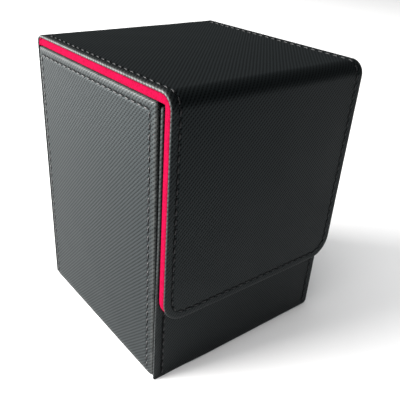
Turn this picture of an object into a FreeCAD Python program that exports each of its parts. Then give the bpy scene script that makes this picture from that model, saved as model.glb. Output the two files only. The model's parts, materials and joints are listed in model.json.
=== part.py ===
import FreeCAD, Part
import math
import os

# Flip-lid deck box for trading cards. Stiff boards are wrapped in black leatherette outside and lined
# with red microfibre inside. The lid and its front flap are one L-shaped piece: it hinges on the
# leather spine along the top of the back wall, folds over the front edge, and the flap is held on
# the front wall by hidden magnets.
#
# Millimetres. X runs to the right seen from the front, the front faces -Y, Z is up. The origin is
# the middle of the bottom of the box's outline.

# ---- driving dimensions ----
BODY_HALF_WIDTH = 39.3      # outer faces of the side walls
LID_HALF_WIDTH = 39.5       # edge of the leather on the lid and the flap
HALF_DEPTH = 41.3           # back face, and the flap's outer face
RIM_Z = 100.0               # top edge of the side walls
FLAP_BOTTOM_Z = 28.3

LEATHER = 0.8               # leatherette, including its glue
LINING = 0.6                # microfibre
BODY_BOARD = 2.0            # greyboard in the body
LID_BOARD = 2.4             # greyboard in the lid and the flap
FRONT_PANEL = 1.4           # front leather with its edges turned under, so it is double
LID_GAP = 0.3               # lid and flap stand off the body by this
SEAM_GAP = 0.1              # between a soft fold and the panel that it carries
SLEEVE_INSET = 0.3          # the lid's red edge sits this far inside the leather's edge
NOSE_GAP = 0.3              # between the lid's rounded back end and the strip behind the spine
FRONT_DROP = 0.4            # top of the front leather, below the rim
FRONT_BOARD_DROP = 0.8      # top of the front board, below the top of its leather
FRONT_LIFT = 0.3            # bottom of the front leather, above the ground

FOLD_RADIUS = 5.0           # outside of the leather over the lid's front edge
SPINE_RADIUS = 3.0          # outside of the leather over the back edge
FLAP_CORNER = 8.0           # flap's lower corners
SPINE_START_Z = 99.0        # where the back leather becomes the soft spine

SIDE_FRONT_LOW = 1.8        # side wall's front edge, behind the front face, at the bottom
SIDE_FRONT_HIGH = 3.1       # the same at the rim: the edge leans back and leaves a slit
SIDE_CORNER = 1.6           # corners of the side wall seen from the side
SIDE_ROUND = 1.3            # leather rounding along the side wall's outer edges
FRONT_CORNER = 2.0          # lower corners of the front leather
EDGE_ROUND = 0.5            # rounding of the lid leather's outer edges

THREAD_WIDTH = 0.6          # width of a row of stitches
THREAD_DEPTH = 0.4          # how deep the thread sinks into the leather
LID_STITCH_INSET = 2.9      # stitch row's middle, from the edge of the lid leather
SIDE_STITCH_TOP = 2.7
SIDE_STITCH_FRONT = 3.4
SIDE_STITCH_BACK = 1.5
FRONT_STITCH_INSET = 3.0
STITCH_END = 1.6            # where a stitch row stops above the bottom, or short of an edge

MAGNET_RADIUS = 5.0
MAGNET_THICK = 1.5
MAGNET_X = 22.0
MAGNET_Z = 42.0

# ---- planes worked out from the driving dimensions ----
WALL = LEATHER + BODY_BOARD + LINING
INNER_X = BODY_HALF_WIDTH - WALL
BOARD_X = BODY_HALF_WIDTH - LEATHER
LID_THICK = LINING + LID_BOARD + LEATHER
FLAP_OUTER_Y = -HALF_DEPTH
FLAP_INNER_Y = FLAP_OUTER_Y + LID_THICK
FRONT_Y = FLAP_INNER_Y + LID_GAP
FRONT_BOARD_Y = FRONT_Y + FRONT_PANEL
FRONT_LINING_Y = FRONT_BOARD_Y + BODY_BOARD
CAVITY_FRONT_Y = FRONT_LINING_Y + LINING
BACK_Y = HALF_DEPTH
BACK_BOARD_Y = BACK_Y - LEATHER
BACK_LINING_Y = BACK_BOARD_Y - BODY_BOARD
CAVITY_BACK_Y = BACK_LINING_Y - LINING
BOTTOM_BOARD_Z = LEATHER
FLOOR_Z = LEATHER + BODY_BOARD
BOARD_TOP_Z = RIM_Z - LEATHER
FRONT_TOP_Z = RIM_Z - FRONT_DROP
FRONT_BOARD_TOP_Z = FRONT_TOP_Z - FRONT_BOARD_DROP
LID_UNDER_Z = RIM_Z + LID_GAP
LID_SKIN_Z = LID_UNDER_Z + LINING + LID_BOARD
LID_TOP_Z = LID_SKIN_Z + LEATHER
SLEEVE_X = LID_HALF_WIDTH - SLEEVE_INSET
LID_BOARD_X = SLEEVE_X - LINING
FOLD_Y = FLAP_OUTER_Y + FOLD_RADIUS      # centre of the front fold
FOLD_Z = LID_TOP_Z - FOLD_RADIUS
SPINE_Y = BACK_Y - SPINE_RADIUS          # centre of the back fold
SPINE_Z = LID_TOP_Z - SPINE_RADIUS
LID_BACK_Y = SPINE_Y - SEAM_GAP
FLAP_TOP_Z = FOLD_Z - SEAM_GAP


def vec(axis, a, b, depth):
    """A point in the plane across an axis: (y, z) across X, or (x, z) across Y."""
    if axis == "X":
        return FreeCAD.Vector(depth, a, b)
    return FreeCAD.Vector(a, depth, b)


def box(x0, x1, y0, y1, z0, z1):
    return Part.makeBox(x1 - x0, y1 - y0, z1 - z0, FreeCAD.Vector(x0, y0, z0))


def outline(axis, corners, depth):
    """A closed wire round corners given as (a, b, radius); a radius of 0 is a sharp corner."""
    spans = []
    count = len(corners)
    for index in range(count):
        a, b, radius = corners[index]
        here = vec(axis, a, b, depth)
        before = vec(axis, *corners[index - 1][:2], depth)
        after = vec(axis, *corners[(index + 1) % count][:2], depth)
        if radius <= 0:
            spans.append((here, None, here))
            continue
        to_before = (before - here).normalize()
        to_after = (after - here).normalize()
        half = to_before.getAngle(to_after) / 2
        reach = radius / math.tan(half)
        bisector = (to_before + to_after).normalize()
        middle = here + bisector * (radius / math.sin(half) - radius)
        spans.append((here + to_before * reach, middle, here + to_after * reach))
    edges = []
    for index in range(count):
        start, middle, end = spans[index]
        if middle is not None:
            edges.append(Part.Arc(start, middle, end).toShape())
        following = spans[(index + 1) % count][0]
        edges.append(Part.LineSegment(end, following).toShape())
    return Part.Wire(edges)


def slab(axis, corners, low, high):
    """The outline across an axis, extruded from low to high along it."""
    face = Part.Face(outline(axis, corners, low))
    along = FreeCAD.Vector(high - low, 0, 0) if axis == "X" else FreeCAD.Vector(0, high - low, 0)
    return face.extrude(along)


def arc_between(centre_y, centre_z, radius, from_deg, to_deg, x):
    """An arc across X about a centre; 0 degrees points along +Y and 90 along +Z."""
    points = []
    for angle in (from_deg, (from_deg + to_deg) / 2, to_deg):
        turn = math.radians(angle)
        y = centre_y + radius * math.cos(turn)
        z = centre_z + radius * math.sin(turn)
        points.append(FreeCAD.Vector(x, y, z))
    return Part.Arc(*points).toShape()


def segment(x, start, end):
    return Part.LineSegment(FreeCAD.Vector(x, *start), FreeCAD.Vector(x, *end)).toShape()


def swept_profile(edges, length):
    """A closed profile across X, extruded along +X."""
    return Part.Face(Part.Wire(Part.__sortEdges__(edges))).extrude(FreeCAD.Vector(length, 0, 0))


def soften(shape, radius, wanted):
    """Fillet the edges whose middle point the test accepts."""
    edges = [edge for edge in shape.Edges if wanted(edge.CenterOfMass)]
    return shape.makeFillet(radius, edges)


def mirror_to_right(shape):
    return shape.mirror(FreeCAD.Vector(0, 0, 0), FreeCAD.Vector(1, 0, 0))


# ---- side walls ----
def side_outline(front, back, top, bottom, rounding):
    """The side wall seen along X, pulled in from each of its edges."""
    front_low = FRONT_Y + SIDE_FRONT_LOW + front
    front_high = FRONT_Y + SIDE_FRONT_HIGH + front
    back_y = BACK_BOARD_Y - back
    rim = RIM_Z - top
    return [
        (front_low, bottom, rounding),
        (back_y, bottom, rounding),
        (back_y, rim, rounding),
        (front_high, rim, rounding),
    ]


def side_thread():
    """Stitching up the front edge, along the rim and down the back edge of a side wall."""
    low = -BODY_HALF_WIDTH
    high = low + THREAD_DEPTH
    bands = []
    for half, bottom in ((-THREAD_WIDTH / 2, STITCH_END), (THREAD_WIDTH / 2, 0.0)):
        insets = (SIDE_STITCH_FRONT + half, SIDE_STITCH_BACK + half, SIDE_STITCH_TOP + half)
        bands.append(slab("X", side_outline(*insets, bottom, 0.0), low, high))
    return bands[0].cut(bands[1])


def side_cover():
    """Leather over the outside of a side board, turned over all four of its edges."""
    outer = slab("X", side_outline(0, 0, 0, 0, SIDE_CORNER), -BODY_HALF_WIDTH, -INNER_X)
    outer = soften(outer, SIDE_ROUND, lambda middle: middle.x < -BODY_HALF_WIDTH + 0.01)
    return outer.cut(side_fill(-BOARD_X, -INNER_X)).cut(side_thread())


def side_fill(low, high):
    """What lies inside the turned edges of the side leather."""
    inside = side_outline(LEATHER, LEATHER, LEATHER, LEATHER, SIDE_CORNER - LEATHER)
    return slab("X", inside, low, high)


# ---- front wall ----
def front_outline(inset, top, bottom, rounding):
    half = BODY_HALF_WIDTH - inset
    corners = [(-half, bottom), (half, bottom), (half, FRONT_TOP_Z - top), (-half, FRONT_TOP_Z - top)]
    return [(x, z, rounding) for x, z in corners]


def front_thread():
    """Stitching up both sides of the front leather and across its top."""
    bands = []
    for half, bottom in ((-THREAD_WIDTH / 2, STITCH_END), (THREAD_WIDTH / 2, 0.0)):
        inset = FRONT_STITCH_INSET + half
        bands.append(slab("Y", front_outline(inset, inset, bottom, 0.0), FRONT_Y, FRONT_Y + THREAD_DEPTH))
    return bands[0].cut(bands[1])


def front_panel_cover():
    """The front leather: its edges are turned under, so it is double, and it is stitched round."""
    panel = slab("Y", front_outline(0, 0, FRONT_LIFT, FRONT_CORNER), FRONT_Y, FRONT_BOARD_Y)
    panel = soften(panel, EDGE_ROUND, lambda middle: middle.y < FRONT_Y + 0.01)
    return panel.cut(front_thread())


def front_lining():
    """Red lining up the inside of the front wall and over the top of its board."""
    top = FRONT_BOARD_TOP_Z + LINING
    sheet = box(-INNER_X, INNER_X, FRONT_LINING_Y, CAVITY_FRONT_Y, FLOOR_Z, top)
    cap = box(-INNER_X, INNER_X, FRONT_BOARD_Y, FRONT_LINING_Y, FRONT_BOARD_TOP_Z, top)
    return sheet.fuse(cap).removeSplitter()


def magnet_pair(y, thick):
    """Two disc magnets across the front, their axes along Y."""
    discs = []
    for x in (-MAGNET_X, MAGNET_X):
        place = FreeCAD.Vector(x, y, MAGNET_Z)
        discs.append(Part.makeCylinder(MAGNET_RADIUS, thick, place, FreeCAD.Vector(0, 1, 0)))
    return discs


# ---- back wall and spine ----
def bent_sheet(outer, thick, half_width, foot_z):
    """A sheet that stands at the back, bends forward over the top and ends level."""
    x = -half_width
    inner = outer - thick
    return swept_profile(
        [
            segment(x, (SPINE_Y + outer, foot_z), (SPINE_Y + outer, SPINE_Z)),
            arc_between(SPINE_Y, SPINE_Z, outer, 0, 90, x),
            segment(x, (SPINE_Y, SPINE_Z + outer), (SPINE_Y, SPINE_Z + inner)),
            arc_between(SPINE_Y, SPINE_Z, inner, 90, 0, x),
            segment(x, (SPINE_Y + inner, SPINE_Z), (SPINE_Y + inner, foot_z)),
            segment(x, (SPINE_Y + inner, foot_z), (SPINE_Y + outer, foot_z)),
        ],
        2 * half_width,
    )


def hinge_lining():
    """Red strip behind the spine: full width above the rim, between the side walls below it."""
    outer = SPINE_RADIUS - LEATHER
    strip = bent_sheet(outer, LINING, SLEEVE_X, LID_UNDER_Z)
    foot = box(-INNER_X, INNER_X, SPINE_Y + outer - LINING, SPINE_Y + outer, BOARD_TOP_Z, LID_UNDER_Z)
    return strip.fuse(foot).removeSplitter()


def back_lining():
    """Red lining up the inside of the back wall and over the top of its board."""
    sheet = box(-INNER_X, INNER_X, CAVITY_BACK_Y, BACK_LINING_Y, FLOOR_Z, BOARD_TOP_Z + LINING)
    strip_y = SPINE_Y + SPINE_RADIUS - LEATHER - LINING
    cap = box(-INNER_X, INNER_X, BACK_LINING_Y, strip_y, BOARD_TOP_Z, BOARD_TOP_Z + LINING)
    return sheet.fuse(cap).removeSplitter()


# ---- lid ----
def lid_thread():
    """A row of stitches along each side of the lid's top."""
    rows = []
    for side in (-1, 1):
        middle = side * (LID_HALF_WIDTH - LID_STITCH_INSET)
        low = middle - THREAD_WIDTH / 2
        high = middle + THREAD_WIDTH / 2
        rows.append(box(low, high, FOLD_Y, LID_BACK_Y - STITCH_END, LID_TOP_Z - THREAD_DEPTH, LID_TOP_Z))
    return rows


def lid_cover():
    sheet = box(-LID_HALF_WIDTH, LID_HALF_WIDTH, FOLD_Y, LID_BACK_Y, LID_SKIN_Z, LID_TOP_Z)
    sheet = soften(sheet, EDGE_ROUND, lambda at: at.z > LID_TOP_Z - 0.01 and abs(at.x) > LID_BOARD_X)
    return sheet.cut(Part.makeCompound(lid_thread()))


def lid_fill():
    """What lies inside the lid's red tray: its board."""
    front = FOLD_Y + LINING
    back = LID_BACK_Y - LINING
    return box(-LID_BOARD_X, LID_BOARD_X, front, back, LID_UNDER_Z + LINING, LID_SKIN_Z)


def lid_lining():
    """Red lining under the lid board and round its edges, with a rounded nose at the back."""
    tray = box(-SLEEVE_X, SLEEVE_X, FOLD_Y, LID_BACK_Y, LID_UNDER_Z, LID_SKIN_Z)
    reach = SPINE_RADIUS - LEATHER - LINING - NOSE_GAP
    x = -SLEEVE_X
    nose = swept_profile(
        [
            segment(x, (LID_BACK_Y, LID_UNDER_Z), (LID_BACK_Y + reach, LID_UNDER_Z)),
            segment(x, (LID_BACK_Y + reach, LID_UNDER_Z), (LID_BACK_Y + reach, SPINE_Z)),
            arc_between(LID_BACK_Y, SPINE_Z, reach, 0, 90, x),
            segment(x, (LID_BACK_Y, SPINE_Z + reach), (LID_BACK_Y, LID_UNDER_Z)),
        ],
        2 * SLEEVE_X,
    )
    return tray.fuse(nose).removeSplitter().cut(lid_fill())


# ---- front fold ----
def fold_ring(outer, inner, half_width):
    """A quarter ring over the lid's front edge."""
    x = -half_width
    return swept_profile(
        [
            arc_between(FOLD_Y, FOLD_Z, outer, 90, 180, x),
            segment(x, (FOLD_Y - outer, FOLD_Z), (FOLD_Y - inner, FOLD_Z)),
            arc_between(FOLD_Y, FOLD_Z, inner, 180, 90, x),
            segment(x, (FOLD_Y, FOLD_Z + inner), (FOLD_Y, FOLD_Z + outer)),
        ],
        2 * half_width,
    )


def fold_thread():
    rows = []
    for side in (-1, 1):
        middle = side * (LID_HALF_WIDTH - LID_STITCH_INSET)
        row = fold_ring(FOLD_RADIUS, FOLD_RADIUS - THREAD_DEPTH, THREAD_WIDTH / 2)
        row.translate(FreeCAD.Vector(middle, 0, 0))
        rows.append(row)
    return rows


def fold_cover():
    return fold_ring(FOLD_RADIUS, FOLD_RADIUS - LEATHER, LID_HALF_WIDTH).cut(Part.makeCompound(fold_thread()))


def fold_lining():
    """Red lining bunched in the fold: round outside, with a sharp corner over the body's front edge."""
    x = -SLEEVE_X
    radius = FOLD_RADIUS - LEATHER
    return swept_profile(
        [
            arc_between(FOLD_Y, FOLD_Z, radius, 90, 180, x),
            segment(x, (FOLD_Y - radius, FOLD_Z), (FLAP_INNER_Y, FOLD_Z)),
            segment(x, (FLAP_INNER_Y, FOLD_Z), (FLAP_INNER_Y, LID_UNDER_Z)),
            segment(x, (FLAP_INNER_Y, LID_UNDER_Z), (FOLD_Y, LID_UNDER_Z)),
            segment(x, (FOLD_Y, LID_UNDER_Z), (FOLD_Y, FOLD_Z + radius)),
        ],
        2 * SLEEVE_X,
    )


# ---- front flap ----
def flap_outline(inset, top):
    half = LID_HALF_WIDTH - inset
    rounding = FLAP_CORNER - inset
    low = FLAP_BOTTOM_Z + inset
    return [(-half, low, rounding), (half, low, rounding), (half, top, 0.0), (-half, top, 0.0)]


def flap_thread():
    """Stitching down both sides of the flap and round its lower edge."""
    low = FLAP_OUTER_Y
    high = low + THREAD_DEPTH
    bands = []
    for half in (-THREAD_WIDTH / 2, THREAD_WIDTH / 2):
        bands.append(slab("Y", flap_outline(LID_STITCH_INSET + half, FLAP_TOP_Z), low, high))
    return bands[0].cut(bands[1])


def flap_cover():
    sheet = slab("Y", flap_outline(0.0, FLAP_TOP_Z), FLAP_OUTER_Y, FLAP_OUTER_Y + LEATHER)
    return sheet.cut(flap_thread())


def flap_fill(top):
    inset = LID_HALF_WIDTH - LID_BOARD_X
    return slab("Y", flap_outline(inset, top), FLAP_OUTER_Y + LEATHER, FLAP_INNER_Y - LINING)


def flap_lining():
    tray = slab("Y", flap_outline(SLEEVE_INSET, FLAP_TOP_Z), FLAP_OUTER_Y + LEATHER, FLAP_INNER_Y)
    return tray.cut(flap_fill(FLAP_TOP_Z - LINING))


# ---- the whole box ----
def body_nodes():
    front_magnets = magnet_pair(FRONT_BOARD_Y, MAGNET_THICK)
    front_board = box(-INNER_X, INNER_X, FRONT_BOARD_Y, FRONT_LINING_Y, BOTTOM_BOARD_Z, FRONT_BOARD_TOP_Z)
    nodes = {
        "bottom_board": box(-INNER_X, INNER_X, FRONT_LINING_Y, BACK_LINING_Y, BOTTOM_BOARD_Z, FLOOR_Z),
        "back_board": box(-INNER_X, INNER_X, BACK_LINING_Y, BACK_BOARD_Y, BOTTOM_BOARD_Z, BOARD_TOP_Z),
        "front_board": front_board.cut(Part.makeCompound(front_magnets)),
        "base_cover": box(-INNER_X, INNER_X, FRONT_BOARD_Y, BACK_BOARD_Y, 0.0, LEATHER),
        "back_cover": box(-LID_HALF_WIDTH, LID_HALF_WIDTH, BACK_BOARD_Y, BACK_Y, 0.0, SPINE_START_Z),
        "front_panel_cover": front_panel_cover(),
        "floor_lining": box(-INNER_X, INNER_X, CAVITY_FRONT_Y, CAVITY_BACK_Y, FLOOR_Z, FLOOR_Z + LINING),
        "back_lining": back_lining(),
        "front_lining": front_lining(),
        "front_magnets": Part.makeCompound(front_magnets),
        "front_panel_stitching": front_thread(),
        "spine_cover": bent_sheet(SPINE_RADIUS, LEATHER, LID_HALF_WIDTH, SPINE_START_Z),
        "hinge_lining": hinge_lining(),
    }
    left = {
        "side_cover": side_cover(),
        "side_board": side_fill(-BOARD_X, -INNER_X - LINING),
        "side_lining": side_fill(-INNER_X - LINING, -INNER_X),
        "side_stitching": side_thread(),
    }
    for name, shape in left.items():
        nodes["left_" + name] = shape
        nodes["right_" + name] = mirror_to_right(shape)
    return nodes


def lid_nodes():
    return {
        "lid_board": lid_fill(),
        "lid_cover": lid_cover(),
        "lid_lining": lid_lining(),
        "lid_stitching": Part.makeCompound(lid_thread()),
        "fold_cover": fold_cover(),
        "fold_lining": fold_lining(),
        "fold_stitching": Part.makeCompound(fold_thread()),
    }


def flap_nodes():
    magnets = magnet_pair(FLAP_INNER_Y - LINING - MAGNET_THICK, MAGNET_THICK)
    return {
        "flap_board": flap_fill(FLAP_TOP_Z - LINING).cut(Part.makeCompound(magnets)),
        "flap_cover": flap_cover(),
        "flap_lining": flap_lining(),
        "flap_magnets": Part.makeCompound(magnets),
        "flap_stitching": flap_thread(),
    }


def main():
    os.makedirs("parts", exist_ok=True)
    nodes = {**body_nodes(), **lid_nodes(), **flap_nodes()}
    for name, shape in nodes.items():
        shape.exportStep("parts/" + name + ".step")
        print(name, len(shape.Solids), "solids", round(shape.Volume, 2), "mm3, valid:", shape.isValid())


main()
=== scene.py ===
import json
import math

import bmesh
import bpy
import numpy as np
from mathutils import Matrix, Vector


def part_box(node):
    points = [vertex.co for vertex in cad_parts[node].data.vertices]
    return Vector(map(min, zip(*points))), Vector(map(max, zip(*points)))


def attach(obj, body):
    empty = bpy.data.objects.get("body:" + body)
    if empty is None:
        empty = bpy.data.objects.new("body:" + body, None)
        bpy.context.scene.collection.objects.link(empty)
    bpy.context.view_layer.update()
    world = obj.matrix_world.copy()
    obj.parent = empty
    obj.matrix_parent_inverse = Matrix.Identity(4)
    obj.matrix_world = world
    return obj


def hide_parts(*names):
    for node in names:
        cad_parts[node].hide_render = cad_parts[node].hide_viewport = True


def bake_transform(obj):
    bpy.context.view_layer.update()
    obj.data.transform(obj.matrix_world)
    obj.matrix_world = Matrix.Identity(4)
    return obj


# Card deck box: ribbed black leatherette over boards, red microfibre lining, sewn edges.
# Lengths are in millimetres until a mesh is made, and then in metres.
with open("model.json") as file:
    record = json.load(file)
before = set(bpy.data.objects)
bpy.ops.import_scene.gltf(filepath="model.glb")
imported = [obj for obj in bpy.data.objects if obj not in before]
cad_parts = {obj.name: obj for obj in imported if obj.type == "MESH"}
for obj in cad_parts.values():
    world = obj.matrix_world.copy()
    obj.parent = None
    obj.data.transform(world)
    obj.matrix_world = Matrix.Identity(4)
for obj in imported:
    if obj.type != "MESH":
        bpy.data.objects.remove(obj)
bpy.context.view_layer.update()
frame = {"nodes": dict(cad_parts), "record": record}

MM = 0.001
MERGE = 2e-6        # points closer than this, in metres, become one
SLIVER = 1e-7       # and edges shorter than this are dissolved


def span(node):
    """A CAD node's lowest and highest corner, in millimetres."""
    return [np.round(np.array(corner) / MM, 3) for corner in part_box(node)]


# ---- planes read from the CAD nodes ----
LID_LOW, LID_HIGH = span("lid_cover")
FLAP_LOW = span("flap_cover")[0]
FOLD_LOW = span("fold_cover")[0]
SPINE_LOW, SPINE_HIGH = span("spine_cover")
BACK_LOW, BACK_HIGH = span("back_cover")
SIDE_LOW, SIDE_HIGH = span("left_side_cover")
FRONT_LOW, FRONT_HIGH = span("front_panel_cover")
BASE_LOW, BASE_HIGH = span("base_cover")
LID_RED_LOW, LID_RED_HIGH = span("lid_lining")
FLAP_RED_HIGH = span("flap_lining")[1]
HINGE_LOW = span("hinge_lining")[0]
FLOOR_RED_LOW, FLOOR_RED_HIGH = span("floor_lining")
BACK_RED_LOW, BACK_RED_HIGH = span("back_lining")
FRONT_RED_LOW, FRONT_RED_HIGH = span("front_lining")
SIDE_RED_LOW, SIDE_RED_HIGH = span("left_side_lining")
FRONT_BOARD_HIGH = span("front_board")[1]

LEATHER = LID_HIGH[2] - LID_LOW[2]
LID_THICK = FLAP_RED_HIGH[1] - FLAP_LOW[1]
LINING = FLOOR_RED_HIGH[2] - FLOOR_RED_LOW[2]
LID_HALF = LID_HIGH[0]
RED_INSET = LID_HALF - LID_RED_HIGH[0]
TOP_Z = LID_HIGH[2]
FOLD_RADIUS = TOP_Z - FOLD_LOW[2]
SPINE_RADIUS = SPINE_HIGH[1] - SPINE_LOW[1]
FOLD_Y = FLAP_LOW[1] + FOLD_RADIUS
FOLD_Z = TOP_Z - FOLD_RADIUS
SPINE_Y = SPINE_HIGH[1] - SPINE_RADIUS
SPINE_Z = TOP_Z - SPINE_RADIUS
FLAP_CORNER = 8.0   # radius of the flap's lower corners

# Distances along the strip of leather that is flap, fold, lid, spine and back, from the flap's lower edge.
S_FOLD = FOLD_Z - FLAP_LOW[2]
S_LID = S_FOLD + FOLD_RADIUS * math.pi / 2
S_SPINE = S_LID + SPINE_Y - FOLD_Y
S_BACK = S_SPINE + SPINE_RADIUS * math.pi / 2
S_BACK_PANEL = S_BACK + SPINE_Z - SPINE_LOW[2]
S_END = S_BACK + SPINE_Z - BACK_LOW[2]

# ---- sewing ----
PITCH = 3.3         # from one needle hole to the next
THREAD = 0.27       # radius of the thread
LID_SEAM = 2.9      # from the leather's edge to the seam
FRONT_SEAM = 3.0
SIDE_SEAM_TOP = 2.75
SIDE_SEAM_BACK = 1.5
SIDE_SEAM_LOW = 3.25    # from the side wall's front edge, at the bottom
SIDE_SEAM_HIGH = 2.75   # and at the rim
SEAM_END = 1.6      # seams of the body stop this far above the bottom
SPINE_END = 1.7     # the lid's seam stops this far short of the spine
GROOVE_DEPTH, GROOVE_WIDTH = 0.34, 0.36     # where the thread sinks in
PULL_DEPTH, PULL_WIDTH = 0.02, 1.1          # the leather that it pulls down on both sides
HOLE_DEPTH, HOLE_RADIUS, HOLE_WIDTH = 0.22, 0.5, 0.3

# ---- steps of the meshes ----
# Insets of the rings of points inside an edge, closest together over the seam.
SEAM_STEPS = [1.5, 1.85, 2.15, 2.35, 2.52, 2.67, 2.8, 2.95, 3.1, 3.25, 3.42, 3.6, 3.8, 4.1, 4.5]
INNER_STEPS = [5.2, 6.4, 8.0]
STEP = 0.55         # along the edges
COARSE = 3          # the grid inside the rings is this many times coarser
ARC_STEPS = 8
COLUMNS = 40        # across a strip


# ---- surfaces: each takes (u to the right, v up, seen from outside; h proud of the face) to x, y, z ----
def on_strip(u, v, h):
    """Points of the strip of leather, folded over the box. v is the distance along it."""
    u, v, h = (np.asarray(k, float) for k in (u, v, h))
    fold = (v - S_FOLD) / FOLD_RADIUS
    spine = (v - S_SPINE) / SPINE_RADIUS
    zones = [v <= S_FOLD, v <= S_LID, v <= S_SPINE, v <= S_BACK]
    y = np.select(
        zones,
        [
            FLAP_LOW[1] - h,
            FOLD_Y - (FOLD_RADIUS + h) * np.cos(fold),
            FOLD_Y + v - S_LID,
            SPINE_Y + (SPINE_RADIUS + h) * np.sin(spine),
        ],
        SPINE_HIGH[1] + h,
    )
    z = np.select(
        zones,
        [
            FLAP_LOW[2] + v,
            FOLD_Z + (FOLD_RADIUS + h) * np.sin(fold),
            TOP_Z + h,
            SPINE_Z + (SPINE_RADIUS + h) * np.cos(spine),
        ],
        SPINE_Z - (v - S_BACK),
    )
    return np.stack([u, y, z], 1)


def on_plane(origin, right, up):
    """A flat face through origin."""
    right, up = np.array(right, float), np.array(up, float)
    out = np.cross(right, up)

    def place(u, v, h):
        u, v, h = (np.asarray(k, float)[:, None] for k in (u, v, h))
        return np.array(origin, float) + u * right + v * up + h * out

    return place


# ---- unevenness and wear ----
LEATHER_WAVES = 0.12    # depth of the slow unevenness of glued leather
LINING_WAVES = 0.1
WAVES = 5
WAVE_LENGTHS = (16, 46)
FIRM_EDGE = 1.0         # from an edge in to where the unevenness starts
FIRM_REACH = 5          # and from there to where it is full
SEAM_FROM = 0.4         # a seam pulls the leather from this inset inwards
SEAM_FADE = 0.6
# Edges are lightened: rubbed wear, and also a painted highlight along the lit edges. The lightening fades
# below the face.
WEAR_AND_HIGHLIGHT_WIDTH = 0.65       # how far a rubbed and lit edge is lightened onto the face
WEAR_AND_HIGHLIGHT_DEPTH = 0.5        # how far it reaches down round the corner
WEAR_AND_HIGHLIGHT_FADE = 0.15
LIGHT_WEAR_AND_HIGHLIGHT = 0.4        # lightening of an edge that is seldom touched
AT_ONCE = 4000          # points whose distances to a seam are worked out together


# ---- pieces ----
class Piece:
    """Collects the vertices and faces of one closed piece, with marks that its material reads."""

    def __init__(self, place, seed=0, worn_and_lit=None):
        self.place = place
        self.seed = seed
        self.worn_and_lit = worn_and_lit or (lambda uv: 1.0)
        self.points, self.faces = [], []
        self.cloth, self.wear, self.pit = [], [], []
        self.count = 0

    def add(self, uv, h, cloth=None, wear=0.0, pit=0.0):
        """Adds points and returns their numbers. cloth is where they lie on the flat material."""
        uv = np.asarray(uv, float).reshape(-1, 2)
        cloth = uv if cloth is None else np.asarray(cloth, float).reshape(-1, 2)
        size = len(uv)
        h = np.broadcast_to(np.asarray(h, float), size)
        self.points.append(self.place(uv[:, 0], uv[:, 1], h))
        self.cloth.append(np.column_stack([cloth, np.full(size, float(self.seed))]))
        self.wear.append(np.broadcast_to(np.asarray(wear, float) * self.worn_and_lit(uv), size))
        self.pit.append(np.broadcast_to(np.asarray(pit, float), size))
        numbers = np.arange(self.count, self.count + size)
        self.count += size
        return numbers

    def bridge(self, a, b, closed=False):
        """Quads between two rows of points."""
        size = len(a)
        for i in range(size if closed else size - 1):
            j = (i + 1) % size
            self.faces.append([a[i], a[j], b[j], b[i]])

    def make(self, name, slot, replaced=(), sharp=38):
        """The finished Blender object. replaced are the CAD nodes that it stands for."""
        points = np.concatenate(self.points) * MM
        mesh = bpy.data.meshes.new(name)
        mesh.from_pydata(points.tolist(), [], [[int(n) for n in f] for f in self.faces])
        cloth = mesh.attributes.new("cloth", "FLOAT_VECTOR", "POINT")
        cloth.data.foreach_set("vector", np.concatenate(self.cloth).astype(np.float32).ravel())
        for key, rows in (("wear", self.wear), ("pit", self.pit)):
            marks = mesh.attributes.new(key, "FLOAT", "POINT")
            marks.data.foreach_set("value", np.concatenate(rows).astype(np.float32))
        work = bmesh.new()
        work.from_mesh(mesh)
        bmesh.ops.remove_doubles(work, verts=work.verts, dist=MERGE)
        bmesh.ops.dissolve_degenerate(work, edges=work.edges, dist=SLIVER)
        bmesh.ops.recalc_face_normals(work, faces=work.faces)
        work.to_mesh(mesh)
        work.free()
        mesh.materials.append(FINISHES[slot])
        mesh.polygons.foreach_set("use_smooth", [True] * len(mesh.polygons))
        mesh.set_sharp_from_angle(angle=math.radians(sharp))
        piece = bpy.data.objects.new(name, mesh)
        bpy.context.scene.collection.objects.link(piece)
        if replaced:
            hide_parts(*replaced)
        return piece


def rectangle(left, right, low, high):
    """Four corners, anticlockwise from the top left."""
    return [(left, high), (left, low), (right, low), (right, high)]


def cross2(a, b):
    return a[0] * b[1] - a[1] * b[0]


def meet(p, d, q, e):
    """Where the line through p along d crosses the line through q along e."""
    return p + d * (cross2(q - p, e) / cross2(d, e))


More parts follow.
